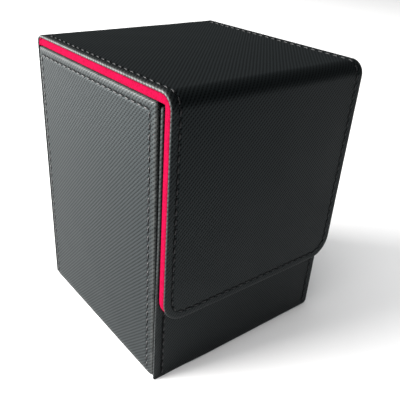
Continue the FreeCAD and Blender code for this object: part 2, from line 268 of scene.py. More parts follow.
class Outline:
    """Four corners, anticlockwise from the top left, some of them rounded. The top may be open: a cut
    that carries on into the next piece, and isn't an edge."""

    def __init__(self, corners, radii, open_top=False, step=STEP):
        self.corners = np.array(corners, float)
        self.radii = radii
        self.open_top = open_top
        self.ways = []
        lengths = []
        for i in range(4):
            way = self.corners[(i + 1) % 4] - self.corners[i]
            lengths.append(np.linalg.norm(way))
            self.ways.append(way / lengths[-1])
        rows = COARSE * max(2, round(max(lengths[0], lengths[2]) / step / COARSE))
        columns = COARSE * max(2, round(max(lengths[1], lengths[3]) / step / COARSE))
        self.counts = [rows, columns, rows, columns]

    def corner(self, i, inset):
        """Corner i of the outline pulled in by inset."""
        lines = []
        for k in (i - 1, i):
            pull = 0.0 if self.open_top and k % 4 == 3 else inset
            way = self.ways[k]
            lines.append((self.corners[k] + np.array([-way[1], way[0]]) * pull, way))
        return meet(lines[0][0], lines[0][1], lines[1][0], lines[1][1])

    def arc(self, i, inset):
        """Points round corner i. Past the corner's radius they all lie on the corner."""
        radius = self.radii[i]
        if self.open_top and i in (0, 3):
            return [self.corner(i, inset)]
        if inset >= radius:
            return [self.corner(i, inset)] * (ARC_STEPS + 1)
        centre = self.corner(i, radius)
        before, after = self.ways[i - 1], self.ways[i]
        start = math.atan2(-before[0], before[1])
        turn = math.atan2(cross2(before, after), before @ after)
        points = []
        for k in range(ARC_STEPS + 1):
            angle = start + turn * k / ARC_STEPS
            points.append(centre + (radius - inset) * np.array([math.cos(angle), math.sin(angle)]))
        return points

    def ring(self, inset):
        """The whole path at that inset, and where each side starts and ends in it."""
        arcs = [self.arc(i, inset) for i in range(4)]
        path, sides = [], []
        for i in range(3 if self.open_top else 4):
            path += arcs[i]
            start = len(path) - 1
            ends = arcs[i][-1], arcs[(i + 1) % 4][0]
            for k in range(1, self.counts[i]):
                path.append(ends[0] + (ends[1] - ends[0]) * k / self.counts[i])
            sides.append((start, len(path)))
        if self.open_top:
            path += arcs[3]
        return np.array(path), sides

    def fill(self, piece, ring, sides, height):
        """A coarser grid inside the last ring. Returns the grid's top row if the top is open."""
        rows, columns = self.counts[0] // COARSE, self.counts[1] // COARSE
        last = len(ring) - 1

        def side(i, k):
            number = sides[i][0] + k
            return ring[number if number <= last else 0]

        inside = self.last_inset
        top_left, low_left, low_right, top_right = (self.corner(i, inside) for i in range(4))
        grid = -np.ones((rows + 1, columns + 1), int)
        fresh, where = [], []
        for r in range(rows + 1):
            for c in range(columns + 1):
                if c == 0:
                    grid[r, c] = side(0, r * COARSE)
                elif r == rows:
                    grid[r, c] = side(1, c * COARSE)
                elif c == columns:
                    grid[r, c] = side(2, (rows - r) * COARSE)
                elif r == 0 and not self.open_top:
                    grid[r, c] = side(3, (columns - c) * COARSE)
                else:
                    a, b = r / rows, c / columns
                    left = top_left + (low_left - top_left) * a
                    right = top_right + (low_right - top_right) * a
                    fresh.append(left + (right - left) * b)
                    where.append((r, c))
        fresh = np.array(fresh)
        h, wear, pit = height(fresh)
        numbers = piece.add(fresh, h, wear=wear, pit=pit)
        for (r, c), number in zip(where, numbers):
            grid[r, c] = number
        for r in range(rows):
            for c in range(columns):
                face = [grid[r, c]]
                if c == 0:
                    face += [side(0, r * COARSE + k) for k in range(1, COARSE)]
                face.append(grid[r + 1, c])
                if r == rows - 1:
                    face += [side(1, c * COARSE + k) for k in range(1, COARSE)]
                face.append(grid[r + 1, c + 1])
                if c == columns - 1:
                    face += [side(2, (rows - r - 1) * COARSE + k) for k in range(1, COARSE)]
                face.append(grid[r, c + 1])
                if r == 0 and not self.open_top:
                    face += [side(3, (columns - c - 1) * COARSE + k) for k in range(1, COARSE)]
                piece.faces.append(face)
        return list(grid[0])

    def face(self, piece, profile, relief):
        """Rings from the rim inwards and the grid inside them. Returns the rim and the open top's points."""
        reach = [profile[-1][0]]
        for (d0, h0), (d1, h1) in zip(profile[-2::-1], profile[:0:-1]):
            reach.insert(0, reach[0] - math.hypot(d1 - d0, h1 - h0))
        rings = []
        for (inset, h), along in zip(profile, reach):
            points, sides = self.ring(inset)
            cloth, _ = self.ring(along)
            dent, pit = relief(points, inset)
            wear = edge_wear_and_highlight(along, h)
            rings.append(piece.add(points, h + dent, cloth, wear, pit))
        for a, b in zip(rings, rings[1:]):
            piece.bridge(a, b, not self.open_top)
        self.last_inset = profile[-1][0]

        def height(points):
            dent, pit = relief(points, self.last_inset)
            return profile[-1][1] + dent, 0.0, pit

        top = self.fill(piece, rings[-1], sides, height)
        chain = [r[0] for r in rings] + top[1:-1] + [r[-1] for r in rings[::-1]]
        return rings[0], chain


def edge_wear_and_highlight(along, h):
    """How rubbed the leather is, with the painted highlight of its edge, by its distance from the outer
    corner and its depth below the face.
    """
    across = np.maximum(np.asarray(along, float), 0) / WEAR_AND_HIGHLIGHT_WIDTH
    return np.exp(-across - np.maximum(-WEAR_AND_HIGHLIGHT_DEPTH - h, 0) / WEAR_AND_HIGHLIGHT_FADE)


def smooth_step(x):
    x = np.clip(x, 0, 1)
    return x * x * (3 - 2 * x)


def bell(x):
    return np.exp(-(x**2))


def waves(points, seed, depth):
    """Slow unevenness of a glued sheet, never proud of it."""
    u, v = points[:, 0], points[:, 1]
    total = np.zeros(len(points))
    draw = np.random.default_rng(seed)
    for _ in range(WAVES):
        length = draw.uniform(*WAVE_LENGTHS)
        turn = draw.uniform(0, 2 * math.pi)
        along = u * math.cos(turn) + v * math.sin(turn)
        total += np.sin(along * 2 * math.pi / length + draw.uniform(0, 6.28))
    return depth * (total / WAVES - 1) / 2


class Seam:
    """A row of stitches along a path on the flat material. Needle holes are PITCH apart."""

    def __init__(self, path):
        path = np.array(path, float)
        steps = np.linalg.norm(np.diff(path, axis=0), axis=1)
        along = np.concatenate([[0], np.cumsum(steps)])
        count = max(1, round(along[-1] / PITCH))
        marks = np.linspace(0, along[-1], count + 1)
        self.holes = np.column_stack([np.interp(marks, along, path[:, k]) for k in (0, 1)])

    def relief(self, points):
        """How far the thread pulls the leather in, and how much each point lies in a needle hole."""
        a, b = self.holes[:-1], self.holes[1:]
        way = (b - a) / np.linalg.norm(b - a, axis=1)[:, None]
        length = np.linalg.norm(b - a, axis=1)
        groove = np.zeros(len(points))
        pit = np.zeros(len(points))
        for start in range(0, len(points), AT_ONCE):
            part = slice(start, start + AT_ONCE)
            rel = points[part, None, :] - a[None]
            along = np.einsum("nkc,kc->nk", rel, way)
            across = rel[..., 0] * way[:, 1] - rel[..., 1] * way[:, 0]
            over = np.maximum(0, np.abs(along - length / 2) - length / 2)
            distance = np.sqrt(across**2 + over**2).min(1)
            hole = np.linalg.norm(points[part, None, :] - self.holes[None], axis=2).min(1)
            shallow = 0.25 + 0.75 * smooth_step((hole - 0.25) / 0.6)
            pit[part] = bell((hole - HOLE_RADIUS) / HOLE_WIDTH) * bell(distance / HOLE_WIDTH)
            groove[part] = -GROOVE_DEPTH * bell(distance / GROOVE_WIDTH) * shallow
            groove[part] -= PULL_DEPTH * bell(distance / PULL_WIDTH)
        return groove - HOLE_DEPTH * pit, pit


def relief_of(seam, seed, depth=LEATHER_WAVES):
    """Height of the outer face: the glued sheet's unevenness, and the pull of its seam."""

    def relief(points, inset):
        dent = waves(points, seed, depth) * smooth_step((inset - FIRM_EDGE) / FIRM_REACH)
        pit = np.zeros(len(points))
        if seam is not None and inset > SEAM_FROM:
            pulled, pit = seam.relief(points)
            dent = dent + pulled * smooth_step((inset - SEAM_FROM) / SEAM_FADE)
        return dent, pit

    return relief


def smooth(points, inset):
    """Relief of a face with no unevenness and no seam."""
    return np.zeros(len(points)), np.zeros(len(points))


def close_panel(piece, outline, outer, inner, relief):
    """Outer face, inner face, the rim between them and the cut at an open top."""
    rim_a, top_a = outline.face(piece, outer, relief)
    rim_b, top_b = outline.face(piece, inner, smooth)
    piece.bridge(rim_a, rim_b, not outline.open_top)
    if outline.open_top:
        piece.bridge(top_a, top_b)


def strip_across(half, profile):
    """(x, height, inset) across a strip, from its left rim to its right."""
    left = [(-half + d, h, d) for d, h in profile]
    last = profile[-1][0]
    middle = np.linspace(-half + last, half - last, COLUMNS + 1)[1:-1]
    return left + [(x, profile[-1][1], last) for x in middle] + [(-x, h, d) for x, h, d in left[::-1]]


def strip(piece, half, outer, inner, distances, relief, scale=None):
    """A strip of constant section along the leather's length, closed at both ends. scale may change a height
    on the way."""
    scale = scale or (lambda h, v: h)
    rows = []
    for profile, shaped in ((outer, relief), (inner, smooth)):
        section = strip_across(half, profile)
        reach = [0.0]
        for a, b in zip(section, section[1:]):
            reach.append(reach[-1] + math.hypot(b[0] - a[0], b[1] - a[1]))
        reach = np.array(reach) - reach[-1] / 2
        x = np.array([k[0] for k in section])
        insets = [k[2] for k in section]
        here = []
        for v in distances:
            points = np.column_stack([x, np.full(len(x), v)])
            dent, pit = np.zeros(len(x)), np.zeros(len(x))
            for inset in sorted(set(insets)):
                which = [i for i, k in enumerate(insets) if k == inset]
                dent[which], pit[which] = shaped(points[which], inset)
            h = np.array([scale(k[1], v) for k in section]) + dent
            wear = edge_wear_and_highlight(half - np.abs(reach), h)
            here.append(piece.add(points, h, np.column_stack([reach, points[:, 1]]), wear, pit))
        for a, b in zip(here, here[1:]):
            piece.bridge(a, b)
        rows.append(here)
    for end in (0, -1):
        piece.bridge([r[end] for r in rows[0]], [r[end] for r in rows[1]])
    for k in (0, -1):
        piece.bridge(rows[0][k], rows[1][k])


# ---- profiles: (inset from the rim, height over the face) ----
def flat_steps(height):
    return [(d, height) for d in SEAM_STEPS + INNER_STEPS]


# A sheet of leather with a rounded, painted edge.
EDGE = [(0.0, -0.40), (0.03, -0.27), (0.12, -0.15), (0.28, -0.06), (0.5, -0.01), (0.75, 0.02), (1.1, 0.04)]
SHEET_OUTER = EDGE + flat_steps(0.0)
SHEET_INNER = [(d, -LEATHER - h) for d, h in EDGE[:5]] + [(0.75, -LEATHER), (1.1, -LEATHER)]
SHEET_INNER += flat_steps(-LEATHER)

# The same where its edge is rolled thicker, round the lid and the flap. The roll's thick black underside
# also stands as painted shade, the shadow between the leather's edge and the red lining.
ROLLED = [(0.0, -0.46), (0.04, -0.66), (0.15, -0.85), (0.34, -0.98), (0.58, -1.03), (0.8, -0.98)]
ROLLED_INNER = ROLLED + [(1.1, -LEATHER)] + flat_steps(-LEATHER)

# Leather turned over the edge of a board.
WALL = SIDE_HIGH[0] - SIDE_LOW[0]
TURN = [(0.0, -depth) for depth in (WALL, 3.0, 2.5, 2.0, 1.6)]
TURN += [(0.05, -0.36), (0.18, -0.17), (0.37, -0.04), (0.6, 0.0), (1.0, 0.01)]
TURN_OUTER = TURN + flat_steps(0.0)
TURN_INNER = [(LEATHER, -WALL), (LEATHER, -2.0), (1.2, -1.0), (1.7, -LEATHER), (8.0, -LEATHER)]

# Front leather: double, because its edges are turned under.
FRONT_THICK = FRONT_HIGH[1] - FRONT_LOW[1]
FOLDED = [(0.0, -0.70), (0.05, -0.44), (0.19, -0.20), (0.4, -0.05), (0.7, 0.0), (1.1, 0.02)]
FRONT_OUTER = FOLDED + flat_steps(0.0)
FRONT_INNER = [(0.0, -0.62), (0.06, -0.8), (0.2, -0.92), (0.5, -1.0), (1.2, -1.1), (2.6, -FRONT_THICK)]
FRONT_INNER += [(8.0, -FRONT_THICK)]

# Red trays: depth under the leather's outer face, inset from the leather's rim.
RED_OUTER = [(0.55, -LEATHER), (0.5, -1.1), (0.42, -1.2), (0.15, -1.3), (0.04, -1.48), (0.0, -1.8),
             (0.0, -2.9)]
RED_OUTER += [(0.04, -3.3), (0.16, -3.56), (0.4, -3.73), (0.9, -3.79), (1.4, -3.8)]
RED_OUTER += [(d, -LID_THICK) for d in (3.0, 8.0)]
RED_INNER = [(0.8, -LEATHER), (0.7, -1.2)] + [(LINING, -depth) for depth in (1.6, 1.8, 2.4, 2.7)]
RED_INNER += [(0.7, -2.95), (0.85, -3.08), (1.1, -3.17), (1.4, -3.2)]
RED_INNER += [(d, -LID_THICK + LINING) for d in (1.8, 2.4, 3.0, 8.0)]

# A sheet of lining glued down flat, and one laid over a board's rim.
GLUED = [(0.0, -LINING), (0.0, -0.25), (0.08, -0.08), (0.25, 0.0), (1.0, 0.0), (3.0, 0.0)]
GLUED_BACK = [(0.0, -LINING), (3.0, -LINING)]
LAID = [(0.0, -0.3), (0.08, -0.08), (0.25, 0.0), (1.0, 0.0), (3.0, 0.0)]
LAID_BACK = [(d, -LINING) for d, _ in LAID]


# ---- seams ----
def u_path(half, top, low, radius):
    """Down the left, round the lower corners and up the right."""
    path = [(-half, top)]
    steps = 32
    for centre, start in ((-half + radius, math.pi), (half - radius, 1.5 * math.pi)):
        for k in range(steps + 1):
            angle = start + math.pi / 2 * k / steps
            path.append((centre + radius * math.cos(angle), low + radius + radius * math.sin(angle)))
    return path + [(half, top)]


lid_seam = Seam(u_path(LID_HALF - LID_SEAM, S_SPINE - SPINE_END, LID_SEAM, FLAP_CORNER - LID_SEAM))
front_half = FRONT_HIGH[0] - FRONT_SEAM
front_top = FRONT_HIGH[2] - FRONT_SEAM
front_seam = Seam([(-front_half, SEAM_END), (-front_half, front_top), (front_half, front_top),
                   (front_half, SEAM_END)])

# The side wall's front edge leans back, and leaves a slit behind the front leather.
SIDE_FRONT_LOW = SIDE_LOW[1] + 0.7
SIDE_FRONT_HIGH = SIDE_LOW[1] + 1.9
SIDE_BACK = SIDE_HIGH[1]
RIM_Z = SIDE_HIGH[2] - 0.12
seam_top = RIM_Z - SIDE_SEAM_TOP
side_path = [(-SIDE_FRONT_LOW - SIDE_SEAM_LOW, SEAM_END), (-SIDE_FRONT_HIGH - SIDE_SEAM_HIGH, seam_top),
             (-SIDE_BACK + SIDE_SEAM_BACK, seam_top), (-SIDE_BACK + SIDE_SEAM_BACK, SEAM_END)]


# ---- materials ----
class Nodes:
    """Short calls for a material's node tree."""

    def __init__(self, name):
        self.material = bpy.data.materials.new(name)
        self.material.use_nodes = True
        self.tree = self.material.node_tree
        self.shader = self.tree.nodes["Principled BSDF"]

    def node(self, kind):
        return self.tree.nodes.new("ShaderNode" + kind)

    def link(self, value, socket):
        if isinstance(value, bpy.types.NodeSocket):
            self.tree.links.new(value, socket)
        else:
            socket.default_value = value

    def math(self, operation, *values):
        node = self.node("Math")
        node.operation = operation
        for value, socket in zip(values, node.inputs):
            self.link(value, socket)
        return node.outputs[0]

    def times(self, a, b):
        return self.math("MULTIPLY", a, b)

    def plus(self, a, b):
        return self.math("ADD", a, b)

    def mark(self, name, output="Fac"):
        """A mark that Piece left on the mesh."""
        node = self.node("Attribute")
        node.attribute_name = name
        return node.outputs[output]

    def split(self, vector):
        node = self.node("SeparateXYZ")
        self.link(vector, node.inputs[0])
        return node.outputs

    def noise(self, vector, scale, detail=2.0, roughness=0.5):
        node = self.node("TexNoise")
        self.link(vector, node.inputs["Vector"])
        node.inputs["Scale"].default_value = scale
        node.inputs["Detail"].default_value = detail
        node.inputs["Roughness"].default_value = roughness
        return node.outputs["Fac"]

    def stretch(self, vector, scale):
        node = self.node("Mapping")
        self.link(vector, node.inputs["Vector"])
        node.inputs["Scale"].default_value = scale
        return node.outputs[0]

    def mix(self, amount, a, b):
        node = self.node("Mix")
        node.data_type = "RGBA"
        self.link(amount, node.inputs["Factor"])
        self.link(a, node.inputs[6])
        self.link(b, node.inputs[7])
        return node.outputs[2]

    def span(self, value, low, high, to_low=0.0, to_high=1.0):
        node = self.node("MapRange")
        for number, socket in zip((value, low, high, to_low, to_high), node.inputs):
            self.link(number, socket)
        return node.outputs[0]

    def bump(self, height, distance, strength=1.0, normal=None):
        node = self.node("Bump")
        node.inputs["Strength"].default_value = strength
        node.inputs["Distance"].default_value = distance * MM
        self.link(height, node.inputs["Height"])
        if normal is not None:
            self.link(normal, node.inputs["Normal"])
        return node.outputs[0]

    def place(self):
        """Where a CAD node's point lies, in metres."""
        return self.node("TexCoord").outputs["Object"]

    def set(self, **values):
        """Links or sets the shader's sockets, with _ for a space in their names."""
        for name, value in values.items():
            self.link(value, self.shader.inputs[name.replace("_", " ")])


RIB_PITCH = 1.04        # measured, in millimetres
RIB_DRIFT = 0.5         # how far the ribs wander from straight
RIB_SHAPE = 1.7
RIB_HEIGHT = 0.064


def leatherette():
    """Black embossed leatherette: diagonal ribs cut into beads by a weaker set across them."""
    n = Nodes("black_leatherette")
    cloth = n.mark("cloth", "Vector")
    u, v, _ = n.split(cloth)
    drift = n.times(n.math("SUBTRACT", n.noise(cloth, 0.05, 1.0), 0.5), RIB_DRIFT)
    turn = math.pi / (math.sqrt(2) * RIB_PITCH)
    ribs = n.times(n.plus(n.math("SUBTRACT", u, v), drift), turn)
    cuts = n.times(n.plus(n.plus(u, v), drift), turn)
    rib = n.math("POWER", n.math("ABSOLUTE", n.math("COSINE", ribs)), RIB_SHAPE)
    cut = n.math("POWER", n.math("ABSOLUTE", n.math("COSINE", cuts)), RIB_SHAPE)
    filled = n.math("SUBTRACT", n.times(n.math("SUBTRACT", 1.0, rib), 0.75), 0.18)
    bead = n.plus(rib, n.times(cut, filled))
    grain = n.noise(cloth, 3.2, 3.0, 0.6)
    height = n.plus(bead, n.times(grain, 0.16))
    patches = n.noise(cloth, 0.035, 3.0)
    # Edges lightened to grey: rubbed wear, and also a painted highlight along the lit edges.
    worn_and_lit = n.times(n.mark("wear"), n.span(n.noise(cloth, 0.35, 3.0), 0.3, 0.7, 0.45, 1.0))
    worn_and_lit = n.times(worn_and_lit, n.span(bead, 0.1, 0.8, 0.4, 1.0))
    pit = n.mark("pit")
    raised = n.mix(n.span(patches, 0.3, 0.7), (0.0030, 0.0042, 0.0046, 1), (0.0043, 0.0054, 0.0058, 1))
    # Painted shade: the grooves between the beads are coloured near-black.
    colour = n.mix(bead, (0.0002, 0.0003, 0.0004, 1), raised)
    colour = n.mix(n.times(worn_and_lit, 0.8), colour, (0.085, 0.088, 0.086, 1))
    # Painted shade in the needle holes.
    colour = n.mix(pit, colour, (0.001, 0.001, 0.001, 1))
    rough = n.span(bead, 0.1, 0.9, 0.62, 0.48)
    rough = n.plus(rough, n.times(n.math("SUBTRACT", patches, 0.5), 0.12))
    rough = n.plus(rough, n.times(pit, 0.3))
    n.set(Base_Color=colour, Roughness=rough, IOR=1.5, Normal=n.bump(height, RIB_HEIGHT))
    # Painted shade and painted cool light in the reflections: the specular tint is near-black in the grooves
    # and bluish on the beads.
    groove_shade_and_cool_tint = n.mix(n.span(bead, 0.12, 0.95), (0.02, 0.03, 0.035, 1), (0.78, 1.0, 1.06, 1))
    n.set(Specular_Tint=groove_shade_and_cool_tint, Specular_IOR_Level=0.158)
    return n.material


def microfibre():
    """Red microfibre: a short nap, brushed into soft patches."""
    n = Nodes("red_microfibre")
    cloth = n.mark("cloth", "Vector")
    fibres = n.noise(n.stretch(cloth, (6.0, 3.4, 1.0)), 1.0, 4.0, 0.7)
    nap = n.noise(cloth, 0.55, 3.0)
    clumps = n.noise(cloth, 1.6, 2.0)
    shade = n.plus(n.times(fibres, 0.35), n.times(nap, 0.25))
    shade = n.plus(shade, n.times(clumps, 0.4))
    colour = n.mix(n.span(shade, 0.3, 0.7), (0.070, 0.0005, 0.007, 1), (0.175, 0.0014, 0.019, 1))
    height = n.plus(fibres, n.times(clumps, 0.8))
    n.set(Base_Color=colour, Roughness=0.95, Normal=n.bump(height, 0.10))
    n.set(Sheen_Weight=0.03, Sheen_Roughness=0.5, Sheen_Tint=(1.0, 0.05, 0.2, 1))
    n.set(Specular_IOR_Level=0.01)
    return n.material


def thread_finish():
    """Black polyester thread, with painted shade where it goes into the needle holes."""
    n = Nodes("black_thread")
    cloth = n.mark("cloth", "Vector")
    fibres = n.noise(n.stretch(cloth, (3.0, 9.0, 1.0)), 1.0, 3.0, 0.6)
    ends = n.mark("pit")
    colour = n.mix(fibres, (0.003, 0.003, 0.004, 1), (0.009, 0.010, 0.011, 1))
    # Painted shade where the thread's ends sink into the holes.
    colour = n.mix(ends, colour, (0.001, 0.001, 0.001, 1))
    n.set(Base_Color=colour, Roughness=n.span(fibres, 0.2, 0.8, 0.6, 0.42), Normal=n.bump(fibres, 0.05))
    n.set(Specular_IOR_Level=0.24)
    return n.material


def greyboard():
    """Grey recycled board: fibres and flecks. The boards' front corners, seen in the slit, are coloured
    near-black as painted shade of the slit.
    """
    n = Nodes("greyboard")
    place = n.place()
    fibres = n.noise(n.stretch(place, (900, 2600, 900)), 1.0, 4.0, 0.7)
    flecks = n.noise(place, 1500, 2.0)
    x, y, _ = n.split(place)
    colour = n.mix(fibres, (0.26, 0.245, 0.22, 1), (0.42, 0.40, 0.365, 1))
    colour = n.mix(n.span(flecks, 0.66, 0.72), colour, (0.12, 0.11, 0.10, 1))
    # Painted shade: the boards' front corners, where the slit beside the front leather lies in shade, are
    # coloured near-black.
    outside = n.math("GREATER_THAN", n.math("ABSOLUTE", x), (FRONT_BOARD_HIGH[0] - 0.2) * MM)
    front = n.math("LESS_THAN", y, (FRONT_BOARD_HIGH[1] + 0.3) * MM)
    colour = n.mix(n.times(outside, front), colour, (0.006, 0.006, 0.007, 1))
    n.set(Base_Color=colour, Roughness=n.span(fibres, 0.2, 0.8, 0.95, 0.8), Normal=n.bump(fibres, 0.06))
    return n.material


def plating():
    """Nickel plating, brushed and a little stained."""
    n = Nodes("magnet_plating")
    place = n.place()
    brushed = n.noise(n.stretch(place, (400, 400, 6000)), 1.0, 3.0)
    stains = n.noise(place, 300, 3.0)
    colour = n.mix(stains, (0.60, 0.60, 0.61, 1), (0.74, 0.74, 0.75, 1))
    n.set(Base_Color=colour, Metallic=1.0, Roughness=n.span(brushed, 0.3, 0.7, 0.16, 0.34))
    n.set(Normal=n.bump(brushed, 0.01))
    return n.material


FINISHES = {"black_leatherette": leatherette(), "red_microfibre": microfibre(),
            "black_thread": thread_finish(), "greyboard": greyboard(), "magnet_plating": plating()}


# ---- leather ----
def spaced(low, high, step):
    return np.linspace(low, high, max(2, round((high - low) / step)) + 1)


def strip_wear_and_highlight(uv):
    """The lid's edges are lightened the most, the flap's and the spine's less: rubbed wear and painted
    highlight.
    """
    flap = smooth_step((S_LID - uv[:, 1]) / (S_LID - S_FOLD))
    spine = smooth_step((uv[:, 1] - S_SPINE) / (S_BACK_PANEL - S_SPINE))
    return 1 - 0.75 * flap - 0.6 * spine


def light_wear_and_highlight(uv):
    return LIGHT_WEAR_AND_HIGHLIGHT


BEND_STEP = 0.3         # between the rings of points round a bend
lid_relief = relief_of(lid_seam, 11)

flap_outline = Outline(rectangle(-LID_HALF, LID_HALF, 0, S_FOLD), (0, FLAP_CORNER, FLAP_CORNER, 0),
                       open_top=True)
flap_skin = Piece(on_strip, 1, strip_wear_and_highlight)
close_panel(flap_skin, flap_outline, SHEET_OUTER, ROLLED_INNER, lid_relief)
flap_skin = flap_skin.make("flap_leather", "black_leatherette", ["flap_cover"])
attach(flap_skin, "flap")


def leather_strip(name, node, low, high, step, scale=None):
    """The strip of leather from low to high along it, with both its edges rolled."""
    piece = Piece(on_strip, 1, strip_wear_and_highlight)
    strip(piece, LID_HALF, SHEET_OUTER, ROLLED_INNER, spaced(low, high, step), lid_relief, scale)
    return piece.make(name, "black_leatherette", [node])


fold_skin = leather_strip("fold_leather", "fold_cover", S_FOLD, S_LID, BEND_STEP)
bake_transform(fold_skin)
lid_skin = leather_strip("lid_leather", "lid_cover", S_LID, S_SPINE, STEP)
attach(lid_skin, "lid")


def roll_ends(h, v):
    """The rolled edge thins to the sheet's thickness round the spine."""
    left = smooth_step((S_BACK_PANEL - v) / (S_BACK_PANEL - S_SPINE))
    return h if h >= -LEATHER else -LEATHER + (h + LEATHER) * left


spine_skin = leather_strip("spine_leather", "spine_cover", S_SPINE, S_BACK_PANEL, BEND_STEP, roll_ends)
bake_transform(spine_skin)


def on_back(u, v, h):
    """The strip's back end turned the right way up: v rises from the bottom."""
    return on_strip(u, S_END - np.asarray(v, float), h)


def back_relief(points, inset):
    """The lid's relief, carried on down the back."""
    turned = np.column_stack([points[:, 0], S_END - points[:, 1]])
    return lid_relief(turned, inset)


BACK_CORNER = 1.5
back_edges = rectangle(-LID_HALF, LID_HALF, 0, S_END - S_BACK_PANEL)
back_outline = Outline(back_edges, (0, BACK_CORNER, BACK_CORNER, 0), open_top=True)
back_skin = Piece(on_back, 1, light_wear_and_highlight)
close_panel(back_skin, back_outline, SHEET_OUTER, SHEET_INNER, back_relief)
for rows in back_skin.cloth:
    rows[:, 1] = S_END - rows[:, 1]
back_skin = back_skin.make("back_leather", "black_leatherette", ["back_cover"])
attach(back_skin, "root")

SIDE_CORNERS = [0.5, 1.6, 0.9, 1.2]     # radii, from the back top corner down and round
SHAVED = 2.9                            # how far back from the front edge the side's board is shaved
SHAVED_DEPTH = 0.9
SHAVED_ROUND = 0.9


def side_wall(name, sign, seed):
    """The leather of one side of the body. sign is -1 on the left. Returns its seam and its face."""
    place = on_plane((sign * -SIDE_LOW[0], 0, 0), (0, sign, 0), (0, 0, 1))
    path = [(-sign * a, b) for a, b in side_path]
    edges = [(-SIDE_BACK, RIM_Z), (-SIDE_BACK, 0), (-SIDE_FRONT_LOW, 0), (-SIDE_FRONT_HIGH, RIM_Z)]
    radii = SIDE_CORNERS
    if sign > 0:
        edges = [(-a, b) for a, b in edges[::-1]]
        radii = radii[::-1]
    seam = Seam(path)
    outline = Outline(edges, radii)
    skin = Piece(place, seed)
    glued = relief_of(seam, seed)

    def relief(points, inset):
        """The sheet's own relief, falling away towards the front edge, where the board is shaved thin."""
        dent, pit = glued(points, inset)
        if inset > 0:
            front = SIDE_FRONT_LOW + (SIDE_FRONT_HIGH - SIDE_FRONT_LOW) * points[:, 1] / RIM_Z
            near = np.clip(1 - (points[:, 0] * sign - front) / SHAVED, 0, 1)
            dent = dent - SHAVED_DEPTH * (1 - np.sqrt(1 - SHAVED_ROUND * near**2))
        return dent, pit

    close_panel(skin, outline, TURN_OUTER, TURN_INNER, relief)
    skin = skin.make(name + "_side_leather", "black_leatherette", [name + "_side_cover"])
    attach(skin, "root")
    return seam, place


left_seam, left_place = side_wall("left", -1, 21)
right_seam, right_place = side_wall("right", 1, 22)

FRONT_BOTTOM = 0.03
FRONT_CORNERS = [0.6, 0.6, 1.8, 0.6]
PRESSED = 0.6                   # how far back the lower left corner is pressed
PRESSED_WIDTH, PRESSED_HEIGHT = 26, 70
front_place = on_plane((0, FRONT_LOW[1], 0), (1, 0, 0), (0, 0, 1))
front_skin = Piece(front_place, 31, light_wear_and_highlight)
front_outline = Outline(rectangle(-LID_HALF, LID_HALF, FRONT_BOTTOM, FRONT_HIGH[2]), FRONT_CORNERS)
front_glued = relief_of(front_seam, 31)


def front_relief(points, inset):
    """The front sheet's own relief, pressed back a little at its lower left corner."""
    dent, pit = front_glued(points, inset)
    left = smooth_step(1 - (points[:, 0] - FRONT_LOW[0]) / PRESSED_WIDTH)
    return dent - PRESSED * left * smooth_step(1 - points[:, 1] / PRESSED_HEIGHT), pit


close_panel(front_skin, front_outline, FRONT_OUTER, FRONT_INNER, front_relief)
front_skin = front_skin.make("front_leather", "black_leatherette", ["front_panel_cover"])
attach(front_skin, "root")

base_place = on_plane((0, 0, 0), (1, 0, 0), (0, -1, 0))
base_skin = Piece(base_place, 41)
base_edges = rectangle(BASE_LOW[0], BASE_HIGH[0], -BASE_HIGH[1], -BASE_LOW[1])
base_outline = Outline(base_edges, [0.6] * 4, step=2 * STEP)
base_outer = EDGE[:5] + [(1.2, 0.0), (8.0, 0.0)]
base_inner = [(d, -LEATHER - h) for d, h in EDGE[:5]] + [(8.0, -LEATHER)]
close_panel(base_skin, base_outline, base_outer, base_inner, relief_of(None, 41))
base_skin = base_skin.make("base_leather", "black_leatherette", ["base_cover"])
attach(base_skin, "root")

# ---- red lining of the lid and the flap ----
RED_STEP = 1.0
red_half = LID_HALF - RED_INSET
red_corner = FLAP_CORNER - RED_INSET
flap_red_outline = Outline(rectangle(-red_half, red_half, RED_INSET, S_FOLD), (0, red_corner, red_corner, 0),
                           open_top=True, step=RED_STEP)
flap_red = Piece(on_strip, 2)
close_panel(flap_red, flap_red_outline, RED_OUTER, RED_INNER, smooth)
flap_red = flap_red.make("flap_red_lining", "red_microfibre", ["flap_lining"])
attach(flap_red, "flap")
lid_from_below = on_plane((0, SPINE_Y, TOP_Z), (1, 0, 0), (0, -1, 0))


def on_lid_red(u, v, h):
    """The lid's tray, with its back end down: v rises towards the front, and h is up."""
    return lid_from_below(u, v, -np.asarray(h))


lid_red_outline = Outline(rectangle(-red_half, red_half, 0, S_SPINE - S_LID), (0, 0.4, 0.4, 0),
                          open_top=True, step=RED_STEP)
lid_red = Piece(on_lid_red, 2)
close_panel(lid_red, lid_red_outline, RED_OUTER, RED_INNER, smooth)
lid_red = lid_red.make("lid_red_lining", "red_microfibre", ["lid_lining"])
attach(lid_red, "lid")


def fold_depth(h, v):
    """The lining's depth in the fold: it is bunched, so its inner corner is sharp."""
    turn = (v - S_FOLD) / FOLD_RADIUS
    corner = (FOLD_RADIUS - LID_THICK) / max(math.cos(turn), math.sin(turn))
    return -LEATHER + (h + LEATHER) * (FOLD_RADIUS - LEATHER - corner) / (LID_THICK - LEATHER)


fold_red = Piece(on_strip, 2)
fold_back = [(0.65 + 0.05 * k, -LEATHER) for k in range(len(RED_OUTER) - 1)] + [(8.0, -LEATHER)]
strip(fold_red, red_half, RED_OUTER, fold_back, spaced(S_FOLD, S_LID, 0.35), smooth, scale=fold_depth)
fold_red = fold_red.make("fold_red_lining", "red_microfibre", ["fold_lining"])
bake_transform(fold_red)


